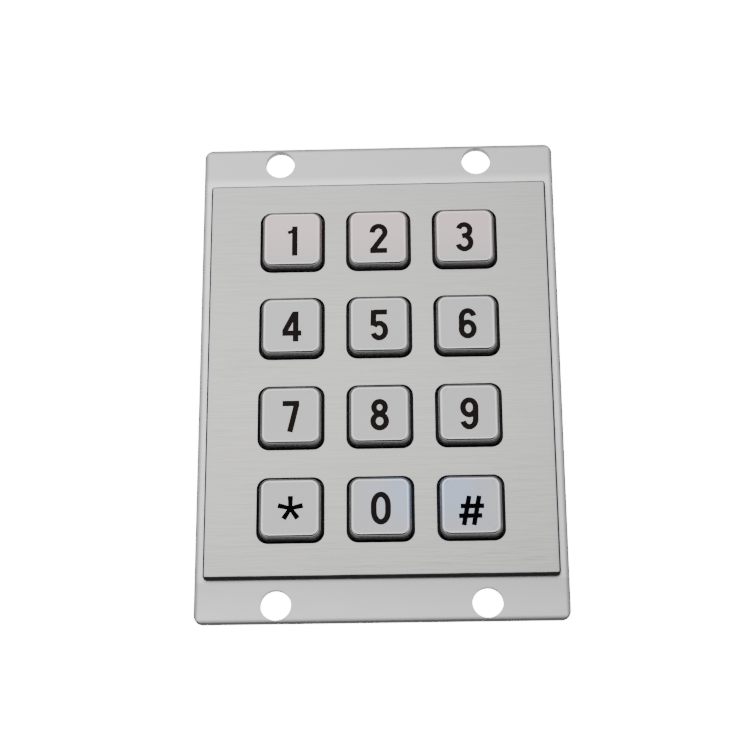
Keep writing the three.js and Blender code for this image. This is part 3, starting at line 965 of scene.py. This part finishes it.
def carbon_rubber():
    """Matt black carbon-loaded rubber, faintly grey where it has rubbed."""
    finish = Finish("carbon_rubber", (0.012, 0.012, 0.012), 0, 0.85)
    rubbed = finish.noise(0.7, 4, 0.6)
    finish.feed("Base Color", finish.blend(rubbed, (0.008, 0.008, 0.008), (0.035, 0.035, 0.036)))
    finish.feed("Roughness", 0.7 + 0.25 * rubbed)
    finish.relief(rubbed, 0.02 * MM, 0.5)
    return finish


carbon = carbon_rubber()
pill_profile = [
    *arc(pill_radius - 0.06 * MM, pill_low.z + 0.06 * MM, 0.06 * MM, -90, 0, 2),
    *arc(pill_radius - 0.06 * MM, pill_high.z - 0.06 * MM, 0.06 * MM, 0, 90, 2),
]
first_pill = shaded(turned("pill", pill_profile, key_places["1"]), 50)
for label in LABELS:
    pill = at_key(first_pill, label, "carbon_pill_" + label)
    fitted(pill, carbon, "button_" + label, "carbon", "pill_" + label)
bpy.data.objects.remove(first_pill)

# ---- Circuit board ----
# A glass-epoxy board with green solder mask. Its back carries the tracks that join the header, the
# encoder chip and the key contacts, drawn as thin lines that stand under the mask, and tinned pads.

TRACK_WIDTH = 0.35 * MM
COPPER = 0.05 * MM
PIN_PITCH = 2.54 * MM
PIN_COUNT = 8
PIN_HOLE = 0.55 * MM
HEADER_Y = -35.5 * MM
CHIP_Y = 20.5 * MM
CHIP_FOOT = 4.85 * MM
LEG_COUNT = 10
LEG_PITCH = 1.27 * MM
CAPACITOR_PLACES = [(-11 * MM, 20.5 * MM), (11 * MM, 20.5 * MM), (0, -27.5 * MM)]
board_low, board_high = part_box("circuit_board")
pin_xs = [(i - (PIN_COUNT - 1) / 2) * PIN_PITCH for i in range(PIN_COUNT)]
leg_xs = [(i - (LEG_COUNT - 1) / 2) * LEG_PITCH for i in range(LEG_COUNT)]

board = block("circuit_laminate", board_low, board_high, STACK_CORNER, 8)
combined(board, stud_holes(0, key_top))
pin_holes = [tube("hole", PIN_HOLE, 0, key_top, x, HEADER_Y, 24) for x in pin_xs]
combined(board, joined("pin_holes", pin_holes))
rounded(board, flat_edge, 0.05 * MM, 1)
shaded(board)


def masked_laminate():
    """Green mask on both faces with the weave of the glass under it, and bare epoxy round the edge."""
    finish = Finish("masked_laminate", (0.01, 0.12, 0.045), 0, 0.35, Coat_Roughness=0.12)
    weave_x = finish.noise((0.5, 6, 6), 1, 0.4)
    weave_y = finish.noise((6, 0.5, 6), 1, 0.4)
    weave = 0.5 * weave_x + 0.5 * weave_y
    mask = finish.blend(weave, (0.006, 0.085, 0.034), (0.016, 0.15, 0.06))
    layers = finish.noise((8, 8, 0.12), 2, 0.5)
    epoxy = finish.blend(layers, (0.30, 0.29, 0.12), (0.50, 0.46, 0.22))
    inside = finish.along("Z", board_low.z + 0.04 * MM, board_low.z + 0.09 * MM)
    inside = inside - finish.along("Z", board_high.z - 0.09 * MM, board_high.z - 0.04 * MM)
    finish.feed("Base Color", finish.blend(inside, mask, epoxy))
    finish.feed("Roughness", 0.28 + 0.3 * inside + 0.1 * weave)
    finish.feed("Coat Weight", 0.5 - 0.5 * inside)
    finish.relief(weave, 0.01 * MM, 0.4)
    return finish


fitted(board, masked_laminate(), "module", "board_laminate", "circuit_board")

track_low, track_high = board_low.z - COPPER, board_low.z + 0.01 * MM


def track(points):
    """A track along plain points on the board's back."""
    return drawn("track", [Vector(point) for point in points], TRACK_WIDTH, track_low, track_high)


def header_track(number):
    """From a header pin up to its chip leg, round the capacitor where that is in the way."""
    pin_x = pin_xs[number]
    leg_x = leg_xs[number + (LEG_COUNT - PIN_COUNT) // 2]
    bulge = 1.4 * MM if abs(pin_x) < PIN_PITCH else 0
    side = 1 if pin_x > 0 else -1
    lane = pin_x + side * bulge
    lane_start, lane_end = -31.5 * MM, -22 * MM
    return [
        (pin_x, HEADER_Y),
        (pin_x, lane_start),
        (lane, lane_start + bulge),
        (lane, lane_end),
        (leg_x, lane_end + abs(leg_x - lane)),
        (leg_x, CHIP_Y - CHIP_FOOT),
    ]


def matrix_track(side, number):
    """From an upper chip leg out past the last key column and down to a contact's via."""
    leg_x = side * (number + 0.5) * LEG_PITCH
    lane_y = 33.5 * MM - 1.1 * MM * number
    lane_x = side * (26.2 * MM - 1.1 * MM * number)
    bend = 1 * MM
    end_y = (-30 + 13 * number) * MM
    return [
        (leg_x, CHIP_Y + CHIP_FOOT),
        (leg_x, lane_y - bend),
        (leg_x + side * bend, lane_y),
        (lane_x - side * bend, lane_y),
        (lane_x, lane_y - bend),
        (lane_x, end_y + bend),
        (lane_x - side * bend, end_y),
        (lane_x - side * (8 + number) * MM, end_y),
    ]


routes = [header_track(number) for number in range(PIN_COUNT)]
routes += [matrix_track(side, number) for side in (-1, 1) for number in range(4)]
tracks = joined("board_tracks", [track(route) for route in routes])
shaded(tracks)


def masked_copper():
    """Copper under the green mask: a lighter green, glossy where the mask thins over it."""
    finish = Finish("masked_copper", (0.02, 0.2, 0.08), 0, 0.3, Coat_Weight=0.4)
    thin = finish.noise(1.2, 3, 0.6)
    finish.feed("Base Color", finish.blend(thin, (0.018, 0.17, 0.07), (0.05, 0.27, 0.11)))
    finish.feed("Roughness", 0.22 + 0.15 * thin)
    return finish


fitted(tracks, masked_copper(), "module", "copper_finish")


def pad(x, y, width, height):
    """A tinned pad on the board's back, with softened edges."""
    half = Vector((width / 2, height / 2, 0))
    centre = Vector((x, y, 0))
    low, high = Vector((0, 0, board_low.z - 0.08 * MM)), Vector((0, 0, board_low.z + 0.01 * MM))
    made = block("pad", centre - half + low, centre + half + high, 0.12 * MM, 3)
    return rounded(made, lambda edge: sharp(edge) and middle(edge).z < board_low.z, 0.04 * MM, 2)


def ring_pad(x, y, outer, inner):
    """A tinned ring round a hole."""
    low, high = board_low.z - 0.07 * MM, board_low.z + 0.01 * MM
    ring = tube("ring", outer, low, high, x, y, 32)
    return combined(ring, tube("hole", inner, 0, key_top, x, y, 32))


pads = [pad(x, CHIP_Y + side * CHIP_FOOT, 0.6 * MM, 1.5 * MM) for x in leg_xs for side in (-1, 1)]
for x, y in CAPACITOR_PLACES:
    pads += [pad(x + side * 1.45 * MM, y, 1.2 * MM, 1.9 * MM) for side in (-1, 1)]
pads += [ring_pad(x, y, 3.2 * MM, STUD_HOLE) for x, y in CORNER_STUDS]
pads += [ring_pad(x, y, 3.8 * MM, STUD_HOLE) for x, y in MIDDLE_STUDS]
pads += [ring_pad(*route[-1], 0.6 * MM, 0.25 * MM) for route in routes[PIN_COUNT:]]
all_pads = joined("tinned_pads", pads)
shaded(all_pads)


def tinned():
    """Solder: bright, slightly uneven and dulled with flux in places."""
    finish = Finish("bright_solder", (0.66, 0.66, 0.64), 1, 0.3)
    flux = finish.noise(0.8, 3, 0.6)
    finish.feed("Base Color", finish.blend(flux, (0.72, 0.72, 0.70), (0.48, 0.46, 0.42)))
    finish.feed("Roughness", 0.18 + 0.3 * flux)
    finish.relief(flux, 0.05 * MM, 0.5)
    return finish


solder = tinned()
fitted(all_pads, solder, "module", "solder")

# ---- Pin header ----
# Eight square pins pressed through a black moulded strip, which is notched between the pins so that
# it can be snapped to length. The pins are gold plated and their tips are tapered.

PIN = 0.64 * MM
PIN_TAPER = 0.5 * MM
PIN_TIP = 0.45
STRIP_WIDTH = 2.5 * MM
header_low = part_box("pin_header")[0]
strip_low = board_low.z - STRIP_WIDTH
half_strip = PIN_COUNT * PIN_PITCH / 2

strip_start = (-half_strip, HEADER_Y - STRIP_WIDTH / 2, strip_low)
strip_end = (half_strip, HEADER_Y + STRIP_WIDTH / 2, board_low.z - 0.02 * MM)
strip = block("header_strip", strip_start, strip_end)
rounded(strip, upright, 0.45 * MM, 1)
for pin_x in pin_xs[:-1]:
    for side in (-1, 1):
        notch_y = HEADER_Y + side * 1.55 * MM
        combined(strip, tube("notch", 0.62 * MM, 0, key_top, pin_x + PIN_PITCH / 2, notch_y, 4))
rounded(strip, flat_edge, 0.08 * MM, 2)
shaded(strip, 30)
moulding = moulded_nylon("moulded_black", (0.010, 0.010, 0.011), 0.2)
fitted(strip, moulding, "module", "connector_plastic", "pin_header")


def header_pin(x):
    """A square pin with a short taper at its free end."""
    half = PIN / 2
    low = (x - half, HEADER_Y - half, header_low.z + PIN_TAPER)
    pin = block("pin", low, (x + half, HEADER_Y + half, board_high.z - 0.2 * MM))
    with editing(pin, lambda face: face.normal.z < -0.99, "FACE"):
        draw_out((0, 0, -PIN_TAPER), (PIN_TIP, PIN_TIP, 1), (x, HEADER_Y, header_low.z))
    return rounded(pin, sharp, 0.03 * MM, 2)


def gold_plate():
    """Thin gold over nickel, scuffed where a plug has slid on and off."""
    finish = Finish("gold_plate", (0.83, 0.62, 0.28), 1, 0.22)
    scuffs = finish.noise((0.1, 0.1, 1.5), 3, 0.6)
    finish.feed("Base Color", finish.blend(scuffs, (0.85, 0.65, 0.30), (0.72, 0.58, 0.34)))
    finish.feed("Roughness", 0.15 + 0.2 * scuffs)
    finish.relief(scuffs, 0.005 * MM, 0.4)
    return finish


pins = joined("header_pins", [header_pin(x) for x in pin_xs])
fitted(shaded(pins, 30), gold_plate(), "module", "copper_finish")

# ---- Encoder chip ----
# A twenty-leg surface-mounted chip that reads the key matrix: a moulded epoxy body with sloping
# sides and a pin-one dimple, on tinned gull-wing legs soldered to their pads. It has no marking.

CHIP_LENGTH = 12.8 * MM
CHIP_WIDTH = 7.5 * MM
CHIP_HEIGHT = 2.3 * MM
CHIP_STANDING = 0.2 * MM
DIMPLE_INSET = 1.4 * MM
LEG_WIDTH = 0.42 * MM
LEG_THICKNESS = 0.25 * MM
chip_back = board_low.z - CHIP_STANDING - CHIP_HEIGHT
chip_middle = board_low.z - CHIP_STANDING - CHIP_HEIGHT / 2


def away_from_dimple(edge):
    return sharp(edge) and abs(middle(edge).y - CHIP_Y) > 0.8 * CHIP_WIDTH / 2


half_chip = Vector((CHIP_LENGTH / 2, CHIP_WIDTH / 2, 0))
seam_low = Vector((0, CHIP_Y, chip_middle))
seam_high = Vector((0, CHIP_Y, chip_middle + LEG_THICKNESS))
chip = block("chip_body", seam_low - half_chip, seam_high + half_chip)
for end, seam, height in ((-1, seam_low, chip_back), (1, seam_high, board_low.z - CHIP_STANDING)):
    with editing(chip, lambda face: face.normal.z * end > 0.99, "FACE"):
        draw_out((0, 0, height - seam.z), (0.97, 0.95, 1), (0, CHIP_Y, height))
dimple_x, dimple_y = DIMPLE_INSET - CHIP_LENGTH / 2, CHIP_Y - CHIP_WIDTH / 2 + DIMPLE_INSET
combined(chip, tube("dimple", 0.5 * MM, 0, chip_back + 0.12 * MM, dimple_x, dimple_y, 32))
rounded(chip, away_from_dimple, 0.08 * MM, 2)
shaded(chip, 30)
chip_epoxy = moulded_nylon("moulding_epoxy", (0.014, 0.014, 0.014), 0.15)
fitted(chip, chip_epoxy, "module", "chip_plastic", "encoder_chip")


def along_leg(edge):
    return sharp(edge) and abs(edge.verts[0].co.x - edge.verts[1].co.x) < 0.01 * MM


def gull_wing(x, side):
    """One leg: out of the body, down to the board and out again as a flat foot."""
    start_y = CHIP_Y + side * (CHIP_WIDTH / 2 - 0.3 * MM)
    low = Vector((x - LEG_WIDTH / 2, start_y - 0.05 * MM, chip_middle))
    high = Vector((x + LEG_WIDTH / 2, start_y + 0.05 * MM, chip_middle + LEG_THICKNESS))
    leg = block("leg", low, high)
    drop = board_low.z - 0.09 * MM - LEG_THICKNESS - chip_middle
    steps = [(0.55, 0), (0.12, 0.08 * drop), (0.16, 0.84 * drop), (0.12, 0.08 * drop), (0.65, 0)]
    with editing(leg, lambda face: face.normal.y * side > 0.99, "FACE"):
        for reach, fall in steps:
            draw_out((0, side * reach * MM, fall))
    return rounded(leg, along_leg, 0.03 * MM, 2)


legs = joined("chip_legs", [gull_wing(x, side) for x in leg_xs for side in (-1, 1)])
fitted(shaded(legs, 40), solder, "module", "solder")

# ---- Capacitors ----
# Three surface-mounted ceramic capacitors beside the chip and the header: a sintered block whose two
# ends are dipped in metal and soldered to their pads.

END_CAP = 0.55 * MM


def fired_ceramic():
    """Tan sintered ceramic with fine grain."""
    finish = Finish("fired_ceramic", (0.32, 0.22, 0.13), 0, 0.55)
    grain = finish.noise(0.12, 3, 0.6)
    finish.feed("Base Color", finish.blend(grain, (0.27, 0.18, 0.10), (0.40, 0.29, 0.18)))
    finish.feed("Roughness", 0.4 + 0.25 * grain)
    finish.relief(grain, 0.01 * MM, 0.5)
    return finish


ceramic = fired_ceramic()
for number in range(1, len(CAPACITOR_PLACES) + 1):
    low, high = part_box(f"capacitor_{number}")
    inset = Vector((0.05, 0.04, 0.04)) * MM
    body = rounded(block(f"capacitor_body_{number}", low + inset, high - inset), sharp, 0.08 * MM, 2)
    fitted(shaded(body), ceramic, "module", "ceramic", f"capacitor_{number}")
    left = block("end", low, (low.x + END_CAP, high.y, high.z))
    right = block("end", (high.x - END_CAP, low.y, low.z), high)
    ends = rounded(joined(f"capacitor_ends_{number}", [left, right]), sharp, 0.12 * MM, 3)
    fitted(shaded(ends), solder, "module", "solder")

# ---- Fasteners ----
# Hexagon nuts on plain washers clamp the stack on the four middle studs. On the corner studs, long
# hexagon standoffs do the same and give the module its four rear feet. All are zinc-plated steel.

CHAMFER = 0.35 * MM
TURNED_BORE = 1.62 * MM
WASHER_BORE = 1.7 * MM


def hexagon(name, node):
    """A hexagon bar with both ends chamfered round and a bore for the stud."""
    low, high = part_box(node)
    centre = (low + high) / 2
    across = (high.y - low.y) / 2
    bar = tube(name, (high.x - low.x) / 2, low.z, high.z, centre.x, centre.y, 6)
    flats_to_y = Matrix.Rotation(pi / 6, 4, "Z")
    bar.data.transform(Matrix.Translation(centre) @ flats_to_y @ Matrix.Translation(-centre))
    turning = [
        (across - 0.1 * MM, low.z),
        (across + CHAMFER, low.z + CHAMFER / 2),
        (across + CHAMFER, high.z - CHAMFER / 2),
        (across - 0.1 * MM, high.z),
    ]
    combined(bar, turned("turning", turning, centre), "INTERSECT")
    combined(bar, tube("bore", TURNED_BORE, low.z - MM, high.z + MM, centre.x, centre.y, 40))

    def at_bore(edge):
        return sharp(edge) and (middle(edge) - centre).xy.length < TURNED_BORE + 0.1 * MM

    rounded(bar, at_bore, 0.12 * MM, 2)
    return shaded(bar, 30)


plated = rolled_steel("zinc_plated_steel")
for number in range(1, 5):
    low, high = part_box(f"washer_{number}")
    x, y = ((low + high) / 2).xy
    washer = tube(f"plain_washer_{number}", (high.x - low.x) / 2, low.z, high.z, x, y, 64)
    combined(washer, tube("bore", WASHER_BORE, 0, key_top, x, y, 40))
    rounded(washer, flat_edge, 0.08 * MM, 2)
    fitted(shaded(washer), plated, "module", "fastener_steel", f"washer_{number}")
    for kind in ("nut", "standoff"):
        bar = hexagon(f"hexagon_{kind}_{number}", f"{kind}_{number}")
        fitted(bar, plated, "module", "fastener_steel", f"{kind}_{number}")
